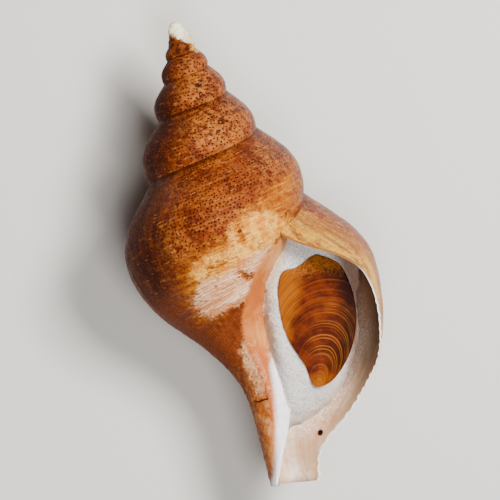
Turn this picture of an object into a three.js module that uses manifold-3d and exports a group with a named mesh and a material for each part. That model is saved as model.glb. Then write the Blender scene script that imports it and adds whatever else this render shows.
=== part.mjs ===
// A whelk shell lying on its back with the mouth up, the horny operculum laid in the mouth,
// and the cotton wad packed behind the operculum. Millimetres, +Z up.
//
// The shell is worked out about its coiling axis: x runs from the axis towards the outer lip,
// y towards the apex, which is at y = 0, and z out of the mouth. One whorl profile turns about
// the axis and grows by a fixed ratio each turn. A point on the wall has an angle, 0 at the
// outer lip's side and growing towards the mouth, and a row, 1 at the suture and larger
// towards the canal.

import * as THREE from 'three';
import { mergeVertices } from 'three/addons/utils/BufferGeometryUtils.js';
import Module from 'manifold-3d';

const wasm = await Module();
wasm.setup();

const DEGREE = Math.PI / 180;
const TURN = 2 * Math.PI;

// Driving dimensions of the shell
const SHELL_LENGTH = 115;
const SUTURE_DEPTH = 47.6; // apex to the suture on the lip's side
const GROWTH_PER_TURN = 1.6;
const WALL = { full: 1.5, atLip: 0.5, growthPower: 0.6, thinsFrom: -35 }; // last in degrees
const CLEARANCE = 0.3; // between pieces that touch
const PIECES = 10; // the wall is swept in pieces of about half a turn
const PIECE_TURN = 0.4975; // so no facet lines up with the one a turn before
const FIRST_TURN = -PIECES * PIECE_TURN;

// Radius of the whorl against depth, both as shares of the suture's depth
const WHORL_PROFILE = [
  [0.98, 0.412], [1.06, 0.486], [1.16, 0.575], [1.27, 0.65], [1.38, 0.687], [1.48, 0.69],
  [1.59, 0.669], [1.71, 0.622], [1.84, 0.538], [1.98, 0.408], [2.11, 0.298], [2.24, 0.213],
  [2.36, 0.164], [2.5, 0.142], [2.7, 0.138], [2.95, 0.14], [3.3, 0.125],
];
const SUTURE_ROW = 0.975; // sunk a little into the whorl before
const BASE_ROW = 2.0; // rows past this one gather towards the canal's end
const LAST_ROW = SHELL_LENGTH / SUTURE_DEPTH;
const FULL_DEPTH = 3.2; // where an earlier canal ended, as a share of its suture's depth

// The first whorls are wider than the later ones' proportions and lean a little, and the
// very first half whorl starts small, inside the nucleus
const APEX_WIDENING = { amount: 1.3, fade: 5 };
const START = { shrink: 0.25, overTurns: 0.5 };
const SPIRE_LEAN = { slope: 0.076, from: 20, to: 30 };

// The canal's end is cut a little askew, longer on the lip's side
const CANAL_SLANT = { slope: 0.13, from: 98, left: -7 };

// Angle of the outer lip's edge, in degrees, against the row
const LIP_EDGE = [
  [1.0, 52], [1.1, 46], [1.2, 40], [1.3, 35], [1.45, 28], [1.6, 24], [1.75, 22], [1.9, 16],
  [2.05, 8], [2.2, 3], [2.45, 0],
];

// A smooth curve through listed points
function curveThrough(points) {
  const slope = (i) => (points[i + 1][1] - points[i][1]) / (points[i + 1][0] - points[i][0]);
  const last = points.length - 1;
  const tangents = points.map((point, i) => {
    if (i === 0) return slope(0);
    if (i === last) return slope(last - 1);
    const before = point[0] - points[i - 1][0];
    const after = points[i + 1][0] - point[0];
    return (slope(i - 1) * after + slope(i) * before) / (before + after);
  });
  return (x) => {
    let i = 0;
    while (i < last - 1 && x >= points[i + 1][0]) i += 1;
    const width = points[i + 1][0] - points[i][0];
    const t = (x - points[i][0]) / width;
    return points[i][1] * (2 * t ** 3 - 3 * t ** 2 + 1)
      + width * tangents[i] * (t ** 3 - 2 * t ** 2 + t)
      + points[i + 1][1] * (3 * t ** 2 - 2 * t ** 3)
      + width * tangents[i + 1] * (t ** 3 - t ** 2);
  };
}

const whorlRadius = curveThrough(WHORL_PROFILE);
const lipAngle = curveThrough(LIP_EDGE);
const growth = (angle) => SUTURE_DEPTH * GROWTH_PER_TURN ** (angle / TURN);
const ease = THREE.MathUtils.smoothstep;

// The outer lip swells below its middle over the last half turn
const LIP_SWELL = 0.095;
const SWELL_FROM = -160 * DEGREE;
const SWELL_TO = -10 * DEGREE;

function swell(depth, angle) {
  const along = ease(angle, SWELL_FROM, SWELL_TO);
  return LIP_SWELL * along * ease(depth, 1.5, 2.05) * (1 - ease(depth, 2.06, 2.33));
}

// The suture drops along the whorl before it, just behind the mouth
const SUTURE_DROP = 0.1;
const DROP_FROM = -40 * DEGREE;
const DROP_TO = 75 * DEGREE;
const DROP_LAST_ROW = 1.42;
const DROP_INWARD = 0.4;

function outerPoint(angle, row) {
  const size = growth(angle);
  const end = Math.min(FULL_DEPTH, SHELL_LENGTH / size);
  let depth = row;
  if (row > BASE_ROW) {
    depth = BASE_ROW + (row - BASE_ROW) * (end - BASE_ROW) / (LAST_ROW - BASE_ROW);
  }
  const drop = SUTURE_DROP * ease(angle, DROP_FROM, DROP_TO) * (1 - ease(row, 1, DROP_LAST_ROW));
  const share = whorlRadius(depth) + swell(depth, angle) - DROP_INWARD * drop;
  const widening = APEX_WIDENING.amount * Math.exp(-size / APEX_WIDENING.fade);
  const started = ease(angle / TURN, FIRST_TURN, FIRST_TURN + START.overTurns);
  const radius = (1 - START.shrink * (1 - started)) * (size * share + widening);
  const x = radius * Math.cos(angle);
  const lean = SPIRE_LEAN.slope * (1 - ease(size, SPIRE_LEAN.from, SPIRE_LEAN.to));
  const down = size * (depth + drop);
  const reached = ease(down, CANAL_SLANT.from, SHELL_LENGTH);
  const slant = CANAL_SLANT.slope * reached * (x - CANAL_SLANT.left);
  return new THREE.Vector3(x, -down - lean * x - slant, radius * Math.sin(angle));
}

// The lip's edge leans forward, and the rows reach it over the last quarter turn
const LIP_FROM = -90 * DEGREE;

function leanedAngle(angle, row) {
  const near = Math.max(0, (angle - LIP_FROM) / -LIP_FROM);
  return angle + near * near * lipAngle(Math.max(1, row)) * DEGREE;
}

function wallThickness(angle) {
  const grown = WALL.full * (growth(angle) / SUTURE_DEPTH) ** WALL.growthPower;
  return THREE.MathUtils.lerp(grown, WALL.atLip, ease(angle, WALL.thinsFrom * DEGREE, 0));
}

const SMALL_STEP = 1e-3;

// A point on the wall, raised along its outward direction
function wallPoint(nominal, row, raise) {
  const angle = leanedAngle(nominal, row);
  const around = outerPoint(angle + SMALL_STEP, row).sub(outerPoint(angle - SMALL_STEP, row));
  const down = outerPoint(angle, row + SMALL_STEP).sub(outerPoint(angle, row - SMALL_STEP));
  return outerPoint(angle, row).addScaledVector(around.cross(down).normalize(), raise);
}

// Closed skin over a row of rings that all have the same number of points
function skin(rings, capFaces) {
  const count = rings[0].length;
  const positions = rings.flat().flatMap((point) => point.toArray());
  const index = [];
  for (let i = 0; i + 1 < rings.length; i += 1) {
    for (let j = 0; j < count; j += 1) {
      const a = i * count + j;
      const b = i * count + (j + 1) % count;
      index.push(a, a + count, b + count, a, b + count, b);
    }
  }
  const lastRing = (rings.length - 1) * count;
  for (const [a, b, c] of capFaces) {
    index.push(a, b, c, lastRing + a, lastRing + c, lastRing + b);
  }
  const geometry = new THREE.BufferGeometry();
  geometry.setAttribute('position', new THREE.Float32BufferAttribute(positions, 3));
  geometry.setIndex(index);
  return geometry;
}

function solid(geometry) {
  const bare = geometry.clone();
  bare.deleteAttribute('normal');
  bare.deleteAttribute('uv');
  const merged = mergeVertices(bare, 1e-4);
  return new wasm.Manifold(new wasm.Mesh({
    numProp: 3,
    vertProperties: merged.attributes.position.array,
    triVerts: new Uint32Array(merged.index.array),
  }));
}

function geometryOf(manifold) {
  const made = manifold.getMesh();
  const geometry = new THREE.BufferGeometry();
  geometry.setAttribute('position', new THREE.BufferAttribute(made.vertProperties, 3));
  geometry.setIndex(new THREE.BufferAttribute(made.triVerts, 1));
  geometry.computeVertexNormals();
  return geometry;
}

const joined = (solids) => solids.reduce((sum, next) => sum.add(next));
const largest = (manifold) => manifold.decompose().sort((a, b) => b.volume() - a.volume())[0];

// Rows of the wall. Counting pieces back from the lip, the last ones run on to the canal,
// and the spire's stop just under the next suture.
const ROWS = [
  SUTURE_ROW, 1.06, 1.16, 1.27, 1.38, 1.48, 1.59, 1.7, 1.81, 1.91, BASE_ROW, 2.09, 2.2, 2.31,
  LAST_ROW,
];
const DETAIL = [
  { upToPiece: 3, rowCount: 15, steps: 15 },
  { upToPiece: 4, rowCount: 10, steps: 15 },
  { upToPiece: 6, rowCount: 9, steps: 10 },
  { upToPiece: PIECES, rowCount: 8, steps: 8 },
];

// One piece of wall, from its outer face in to its inner face
function wallPiece(fromTurn, rows, steps, clearance) {
  const rings = [];
  for (let i = 0; i <= steps; i += 1) {
    const angle = (fromTurn + PIECE_TURN * i / steps) * TURN;
    const outer = rows.map((row) => wallPoint(angle, row, clearance));
    const inner = rows.map((row) => wallPoint(angle, row, -wallThickness(angle) - clearance));
    rings.push([...outer, ...inner.reverse()]);
  }
  const caps = [];
  const last = 2 * rows.length - 1;
  for (let j = 0; j + 1 < rows.length; j += 1) {
    caps.push([j, j + 1, last - j - 1], [j, last - j - 1, last - j]);
  }
  return solid(skin(rings, caps));
}

// Closed round post through listed rings, each a centre x, depth, centre z and radius
const POST_SIDES = 12;

function post(listed, clearance) {
  const rings = listed.map(([x, depth, z, radius]) => {
    const ring = [];
    for (let j = 0; j < POST_SIDES; j += 1) {
      const angle = -j / POST_SIDES * TURN;
      const reach = radius + clearance;
      ring.push(new THREE.Vector3(x + reach * Math.cos(angle), -depth, z + reach * Math.sin(angle)));
    }
    return ring;
  });
  const caps = [];
  for (let j = 1; j + 1 < POST_SIDES; j += 1) caps.push([0, j, j + 1]);
  return solid(skin(rings, caps));
}

// The columella: the wound pillar that the whorls leave round the axis, leaning out to the
// canal's left wall at its end
const COLUMELLA = [
  [0, 12, 0, 0.5], [0, 40, 0, 1.9], [0, 66, 0, 3.2], [0, 84, 0, 3.3], [0, 96, 0.2, 3.0],
  [-0.6, 103, 0.6, 2.4], [-1.8, 108, 1.0, 1.6],
];

// The blunt nucleus at the tip of the spire
const NUCLEUS = [
  [-0.33, 0, 0, 0.6], [-0.3, 0.3, 0, 1.15], [-0.28, 0.9, 0, 1.55], [-0.24, 1.7, 0, 1.88],
  [-0.15, 2.7, 0, 2.15], [0, 3.9, 0, 2.6], [0, 5, 0, 2.95], [0, 6.2, 0, 3.4], [0, 7.8, 0, 3.3],
];

// The whole shell wall, with its faces moved out by the clearance
function shellWalls(clearance) {
  const pieces = [];
  for (let piece = PIECES; piece > 0; piece -= 1) {
    const { rowCount, steps } = DETAIL.find(({ upToPiece }) => piece <= upToPiece);
    pieces.push(wallPiece(-piece * PIECE_TURN, ROWS.slice(0, rowCount), steps, clearance));
  }
  return joined([...pieces, post(COLUMELLA, clearance), post(NUCLEUS, clearance)]);
}

// A plate between two faces over an outline: rings of the outline shrunk towards a centre
const PLATE_RINGS = [1, 0.66, 0.33];

function plate(outline, centre, topAt, bottomAt) {
  const level = (share, heightAt) => outline.map(([x, y]) => {
    const px = centre[0] + (x - centre[0]) * share;
    const py = centre[1] + (y - centre[1]) * share;
    return new THREE.Vector3(px, py, heightAt(px, py));
  });
  const top = PLATE_RINGS.map((share) => level(share, topAt)).reverse();
  const bottom = PLATE_RINGS.map((share) => level(share, bottomAt));
  const caps = [];
  for (let j = 1; j + 1 < outline.length; j += 1) caps.push([0, j, j + 1]);
  return solid(skin([...top, ...bottom], caps));
}

// Outlines are listed clockwise as seen from the mouth, and smoothed anticlockwise
function outlineThrough(points, count) {
  const corners = points.map(([x, y]) => new THREE.Vector3(x, y, 0));
  const curve = new THREE.CatmullRomCurve3(corners, true, 'centripetal');
  return curve.getSpacedPoints(count).slice(1).reverse().map((point) => [point.x, point.y]);
}

// The bed in the mouth that the operculum lies on: a slanting plane that rises to the mouth's
// top and dips into the canal
const BED = { x: 16, depth: 78, height: 4.6, fallToCanal: 0.19, fallToLip: 0.16 };
const BED_TOP = { depth: 62, curve: 0.035 };
const BED_CANAL = { depth: 94, curve: 0.05 };

function bedHeight(x, y) {
  const depth = -y;
  const plane = BED.height - BED.fallToCanal * (depth - BED.depth) - BED.fallToLip * (x - BED.x);
  const rise = BED_TOP.curve * Math.max(0, BED_TOP.depth - depth) ** 2;
  const dip = BED_CANAL.curve * Math.max(0, depth - BED_CANAL.depth) ** 2;
  return plane + rise - dip;
}

// Operculum: a thin horny plate, a little cupped, with its oldest part at the lower end
const OPERCULUM_OUTLINE = [
  [13.8, -64.6], [17.5, -63.1], [19.8, -63.0], [24, -66.4], [25.4, -71.5], [25.5, -76.5],
  [24.6, -81.5], [22.4, -86.6], [19.4, -90.6], [15.6, -93.7], [12.4, -94.4], [10.7, -93.4],
  [9.9, -88.0], [8.0, -82.6], [7.2, -77.5], [7.5, -71.8], [9.0, -67.4], [11, -65.0],
];
const OPERCULUM = { centre: [14.5, -79], thickness: 0.8, above: 0.5, cup: 0.005 };

function operculumPlate(clearance) {
  const [cx, cy] = OPERCULUM.centre;
  const underside = (x, y) => {
    const cup = OPERCULUM.cup * ((x - cx) ** 2 + (y - cy) ** 2 / 3);
    return bedHeight(x, y) + OPERCULUM.above + cup;
  };
  const outline = outlineThrough(OPERCULUM_OUTLINE, 36).map(([x, y]) => {
    const away = Math.hypot(x - cx, y - cy);
    const grown = 1 + clearance / away;
    return [cx + (x - cx) * grown, cy + (y - cy) * grown];
  });
  return plate(
    outline,
    OPERCULUM.centre,
    (x, y) => underside(x, y) + OPERCULUM.thickness + clearance,
    (x, y) => underside(x, y) - clearance,
  );
}

// Cotton wad: a pillow against the columella and the top of the mouth, clear of the outer
// lip beside the operculum, and stopping short of the canal
const WAD_OUTLINE = [
  [10.5, -54.5], [17, -55.6], [24, -60], [28.6, -65.5], [28, -70.5], [26.1, -75],
  [25.3, -80], [24.3, -85], [22, -90], [18.7, -95], [14.2, -99.5], [9, -102.8], [2.5, -103],
  [0.5, -96], [0.5, -84], [1.5, -73], [4.5, -64],
];
const WAD = { centre: [14, -79], depth: 8.5, deeperBy: 0.42 };

function cottonWad() {
  const block = plate(
    outlineThrough(WAD_OUTLINE, 36),
    WAD.centre,
    bedHeight,
    (x, y) => bedHeight(x, y) - WAD.depth - WAD.deeperBy * x,
  );
  return largest(block.subtract(shellWalls(CLEARANCE)).subtract(operculumPlate(CLEARANCE)));
}

const SLIVER = 0.03; // facets thinner than this are closed up

const shellSolid = largest(shellWalls(0).simplify(SLIVER));
const operculumSolid = operculumPlate(0);
const wadSolid = cottonWad();

// The shell lies with its mouth up and its axis level, on a small flat where the floor's plane
// cuts the back of the body whorl. The shift sets the origin under the middle of it all.
const SHIFT = [-3.5, 58.3, 28.75];

const onFloor = (manifold) => manifold.translate(SHIFT).trimByPlane([0, 0, 1], 0);

const group = new THREE.Group();

function addPiece(name, manifold, material) {
  const mesh = new THREE.Mesh(geometryOf(manifold), new THREE.MeshStandardMaterial(material));
  mesh.name = name;
  group.add(mesh);
}

addPiece('shell', onFloor(shellSolid), { color: 0xb8763f, roughness: 0.55, metalness: 0 });
addPiece('operculum', onFloor(operculumSolid), { color: 0x8a4a14, roughness: 0.4, metalness: 0 });
addPiece('cotton_wad', onFloor(wadSolid), { color: 0xdcdad8, roughness: 1, metalness: 0 });

export default group;
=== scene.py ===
"""A neptune whelk shell lying on its back, its operculum laid on cotton wool in the mouth, dressed
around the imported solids. Sizes are in millimetres and become metres as a mesh is made.

The shell is worked out about its coiling axis, as in the part's source: x runs from the axis to
the outer lip, y to the apex, which is at y = 0, and z out of the mouth. Angle 0 is on the outer
lip's side and grows towards the mouth, row 1 is the suture and larger rows lie nearer the canal.
"""

import math
import bmesh
import bpy
import numpy as np
from mathutils import Matrix, Vector
from mathutils.bvhtree import BVHTree
from mathutils.noise import fractal


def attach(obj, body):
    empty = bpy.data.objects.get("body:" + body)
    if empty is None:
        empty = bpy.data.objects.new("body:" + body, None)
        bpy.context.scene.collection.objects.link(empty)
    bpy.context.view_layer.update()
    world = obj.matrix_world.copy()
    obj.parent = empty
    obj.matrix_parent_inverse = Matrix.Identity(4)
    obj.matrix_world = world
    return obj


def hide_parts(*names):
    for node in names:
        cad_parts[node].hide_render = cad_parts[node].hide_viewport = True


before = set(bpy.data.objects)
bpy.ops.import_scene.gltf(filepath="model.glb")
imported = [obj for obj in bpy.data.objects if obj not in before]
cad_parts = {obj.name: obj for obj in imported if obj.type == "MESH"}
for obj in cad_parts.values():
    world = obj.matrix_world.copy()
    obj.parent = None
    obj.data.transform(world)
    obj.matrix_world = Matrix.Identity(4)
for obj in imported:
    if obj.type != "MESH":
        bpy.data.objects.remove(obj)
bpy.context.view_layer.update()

# The table, the lamps and the camera: a plain pale table top under a large soft lamp above the
# shell's right side, with a weak one on the left. The camera looks down on the mouth from far
# off, a little from the canal's end, with the shell's axis turned a seventh of a right angle.
MM = 0.001
ROW_FROM_SHELL = Vector((-3.5, 58.3, 28.75))  # from the shell's own frame to the part's
AXIS_TURN = math.radians(14.3)
LOOK_FROM_CANAL = math.radians(3.0)
VIEW_WIDTH = 121.3
VIEW_CENTRE = Vector((0.47, 0.28, 31.8))
CAMERA_AWAY = 3000
SENSOR_WIDTH = 36

turn_cos, turn_sin = math.cos(AXIS_TURN), math.sin(AXIS_TURN)
tip_cos, tip_sin = math.cos(LOOK_FROM_CANAL), math.sin(LOOK_FROM_CANAL)
to_viewer = Vector((0, tip_sin, tip_cos))
view_right = Vector((turn_cos, -turn_sin * tip_cos, turn_sin * tip_sin))
view_up = to_viewer.cross(view_right)


def place_in_scene(name, data):
    """Adds a new object to the scene."""
    thing = bpy.data.objects.new(name, data)
    bpy.context.scene.collection.objects.link(thing)
    return thing


camera = place_in_scene("camera", bpy.data.cameras.new("camera"))
camera.data.sensor_width = SENSOR_WIDTH
camera.data.lens = SENSOR_WIDTH * CAMERA_AWAY / VIEW_WIDTH
camera.data.clip_end = 20
camera.matrix_world = Matrix.Translation((VIEW_CENTRE + to_viewer * CAMERA_AWAY) * MM) @ Matrix(
    (view_right, view_up, to_viewer)).transposed().to_4x4()
bpy.context.scene.camera = camera


def softbox(name, place, side, watts, tint):
    """A square soft lamp that faces the shell from a place in metres."""
    lamp = place_in_scene(name, bpy.data.lights.new(name, "AREA"))
    lamp.data.size, lamp.data.energy, lamp.data.color = side, watts, tint
    lamp.location = place
    lamp.rotation_mode = "QUATERNION"
    lamp.rotation_quaternion = Vector(place).to_track_quat("Z", "Y")


softbox("key_lamp", (0.33, 0.14, 0.6), 0.2, 10.2, (1.0, 0.96, 0.9))
softbox("front_lamp", (0.04, -0.16, 0.8), 0.3, 5.4, (1.0, 0.98, 0.95))
room = bpy.data.worlds.new("room")
room.use_nodes = True
for label, value in (("Color", (1.0, 0.95, 0.88, 1)), ("Strength", 0.06)):
    room.node_tree.nodes["Background"].inputs[label].default_value = value
bpy.context.scene.world = room

table_mesh = bpy.data.meshes.new("table_top")
table_mesh.from_pydata([(-1, -1, 0), (1, -1, 0), (1, 1, 0), (-1, 1, 0)], [], [(0, 1, 2, 3)])
table_top = place_in_scene("table_top", table_mesh)
table_paint = bpy.data.materials.new("table_paint")
table_paint.use_nodes = True
for label, value in (("Base Color", (0.66, 0.65, 0.63, 1)), ("Roughness", 0.7)):
    table_paint.node_tree.nodes["Principled BSDF"].inputs[label].default_value = value
table_mesh.materials.append(table_paint)

# The shell: one lime wall, coiled by the animal in five whorls that each grow by the same ratio,
# with a flaring outer lip and an open canal. Fine threads run round every whorl, crossed by
# growth lines, and a smooth glaze covers the inner lip. A node tree coils the wall.
SHELL_LENGTH = 115
SUTURE_DEPTH = 47.6  # apex to the suture on the lip's side
GROWTH_PER_TURN = 1.6
WHORL_PROFILE = [  # radius against depth, both as shares of the suture's depth
    (0.98, 0.412), (1.06, 0.486), (1.16, 0.575), (1.27, 0.65), (1.38, 0.687), (1.48, 0.69),
    (1.59, 0.669), (1.71, 0.622), (1.84, 0.538), (1.98, 0.408), (2.11, 0.298), (2.24, 0.213),
    (2.36, 0.164), (2.5, 0.142), (2.7, 0.138), (2.95, 0.14), (3.3, 0.125)]
SUTURE_ROW = 0.975
BASE_ROW = 2.0
LAST_ROW = SHELL_LENGTH / SUTURE_DEPTH
FULL_DEPTH = 3.2
LIP_EDGE = [  # angle of the outer lip's edge in degrees, against the row
    (1.0, 52), (1.1, 46), (1.2, 40), (1.3, 35), (1.45, 28), (1.6, 24), (1.75, 22), (1.9, 16),
    (2.05, 8), (2.13, 4), (2.2, -2), (2.29, -10), (2.34, -14), (2.385, -16), (2.42, -23)]
GLAZE_EDGE = [  # angle of the glaze's edge on the body whorl in degrees, against the row
    (1.5, -345), (1.62, -338), (1.75, -318), (1.87, -291), (1.95, -280), (2.01, -268), (2.07, -249),
    (2.12, -242), (2.17, -248), (2.25, -266), (2.3, -260), (2.35, -243), (2.42, -215)]
BODY_FROM = -372  # the angle where the body whorl's bare outer face begins, far inside the mouth
GIRTH_OF_SIZE = 0.69 * math.tau / math.log(GROWTH_PER_TURN)  # length round the whorls per unit of size
WALL_THICK, LIP_THICK = 1.5, 0.4
LIP_FLARE, LIP_CRIMP = 0.45, 0.2  # how far the rim turns out, and how deep its crimps are
THREAD_HEIGHT, GROWTH_LINE_HEIGHT = 0.17, 0.16
FIRST_TURN, JOIN_TURN = -4.975, -1.03
THREADS = 67
ROWS_PER_THREAD = 4
SPIRE_THREADS = 33
BODY_STEPS, SPIRE_STEPS = 130, 270
BODY_INNER_ROWS, SPIRE_INNER_ROWS = 90, 5


class Amount:
    """An amount that nodes work out at each point. Plain sums on it add the nodes they need."""

    def __init__(self, socket):
        self.socket, self.tree = socket, socket.id_data

    def work(self, operation, *others, first=None, clamp=False):
        amounts = [self, *others] if first is None else [first, self]
        return answer(self.tree, "ShaderNodeMath", amounts, operation=operation, use_clamp=clamp)

    def clamped(self):
        return self.work("ADD", 0, clamp=True)


for sign, operation in (("add", "ADD"), ("sub", "SUBTRACT"), ("mul", "MULTIPLY"), ("truediv", "DIVIDE"),
                        ("pow", "POWER")):
    setattr(Amount, f"__{sign}__", lambda self, other, done=operation: self.work(done, other))
    setattr(Amount, f"__r{sign}__", lambda self, other, done=operation: self.work(done, first=other))


def feed(node, feeds):
    """Feeds a node's inputs, by order or by name, from amounts or plain values."""
    for key, value in feeds.items() if isinstance(feeds, dict) else enumerate(feeds):
        if isinstance(value, Amount):
            node.id_data.links.new(value.socket, node.inputs[key])
        elif value is not None:
            node.inputs[key].default_value = value
    return node


def add(tree, kind, feeds=(), **settings):
    """Adds a node with its settings and feeds."""
    node = tree.nodes.new(kind)
    for name, value in settings.items():
        setattr(node, name, value)
    return feed(node, feeds)


def answer(tree, kind, feeds=(), output=0, **settings):
    """The amount that a new node puts out."""
    return Amount(add(tree, kind, feeds, **settings).outputs[output])


def ease(amount, start, end):
    """0 below start, 1 above end, and smooth between."""
    return answer(amount.tree, "ShaderNodeMapRange", [amount, start, end], interpolation_type="SMOOTHSTEP")


def read_off(amount, points):
    """The height of a smooth curve through listed points."""
    across, heights = zip(*points)
    low, high = min(heights), max(heights)
    node = add(amount.tree, "ShaderNodeFloatCurve", {1: (amount - across[0]) / (across[-1] - across[0])})
    places = [((x - across[0]) / (across[-1] - across[0]), (y - low) / (high - low)) for x, y in points]
    curve = node.mapping.curves[0]
    curve.points[0].location, curve.points[1].location = places[0], places[-1]
    for place in places[1:-1]:
        curve.points.new(*place)
    node.mapping.update()
    return Amount(node.outputs[0]) * (high - low) + low


def new_tree(name, kind, inputs, outputs):
    """A node tree with named inputs and outputs, its input amounts by name, and its output node."""
    tree = bpy.data.node_groups.new(name, kind)
    for in_out, listed in (("INPUT", inputs), ("OUTPUT", outputs)):
        for label, socket_type, *default in listed:
            socket = tree.interface.new_socket(label, in_out=in_out, socket_type="NodeSocket" + socket_type)
            if default:
                socket.default_value = default[0]
    entry = tree.nodes.new("NodeGroupInput")
    given = {label: Amount(entry.outputs[label]) for label, *_ in inputs}
    return tree, given, tree.nodes.new("NodeGroupOutput")


def tree_of(parts):
    """The node tree of the amounts among some values."""
    return next(part.tree for part in parts if isinstance(part, Amount))


def vectors(operation, *given, scale=None):
    """A sum on places or directions, by amounts or plain values."""
    output = "Value" if operation in ("LENGTH", "DISTANCE", "DOT_PRODUCT") else 0
    return answer(tree_of((*given, scale)), "ShaderNodeVectorMath",
                  {**dict(enumerate(given)), "Scale": scale}, output, operation=operation)


def spot(*parts):
    """A place from its three parts."""
    return answer(tree_of(parts), "ShaderNodeCombineXYZ", parts)


def parts_of(place):
    """A place's three parts."""
    return [Amount(output) for output in add(place.tree, "ShaderNodeSeparateXYZ", [place]).outputs]


def noise(where, scale, detail, roughness=0.5):
    """Cloudy noise about one half, its patches about 1 / scale across."""
    return answer(where.tree, "ShaderNodeTexNoise",
                  {"Vector": where, "Scale": scale, "Detail": detail, "Roughness": roughness})


def size_at(angle):
    """The whorl's size at an angle, and how many sizes down its canal ends."""
    size = (angle * (math.log(GROWTH_PER_TURN) / math.tau)).work("EXPONENT") * SUTURE_DEPTH
    return size, (SHELL_LENGTH / size).work("MINIMUM", FULL_DEPTH)


def bare_wall_point():
    """Node group: the place of an angle and row on the shell's outer face, without its threads."""
    tree, given, result = new_tree("bare_wall_point", "GeometryNodeTree",
                                   [("Angle", "Float"), ("Row", "Float")], [("Place", "Vector")])
    angle, row = given["Angle"], given["Row"]
    size, end = size_at(angle)
    depth = row.work("MINIMUM", BASE_ROW) + (
        (row - BASE_ROW).work("MAXIMUM", 0) * (end - BASE_ROW) / (LAST_ROW - BASE_ROW))
    drop = ease(angle, math.radians(-40), math.radians(75)) * (1 - ease(row, 1, 1.42)) * 0.1
    swell = (ease(angle, math.radians(-160), math.radians(-10)) * ease(depth, 1.5, 2.05)
             * (1 - ease(depth, 2.06, 2.33)) * 0.095)
    share = read_off(depth, WHORL_PROFILE) + swell - drop * 0.4
    started = ease(angle, FIRST_TURN * math.tau, (FIRST_TURN + 0.5) * math.tau)
    radius = (started * 0.25 + 0.75) * (size * share + (size / -5).work("EXPONENT") * 1.3)
    x = radius * angle.work("COSINE")
    lean = (1 - ease(size, 20, 30)) * 0.076
    down = size * (depth + drop)
    slant = ease(down, 98, SHELL_LENGTH) * (x + 7) * 0.13
    feed(result, {"Place": spot(x, 0 - down - lean * x - slant, radius * angle.work("SINE"))})
    return tree


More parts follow.
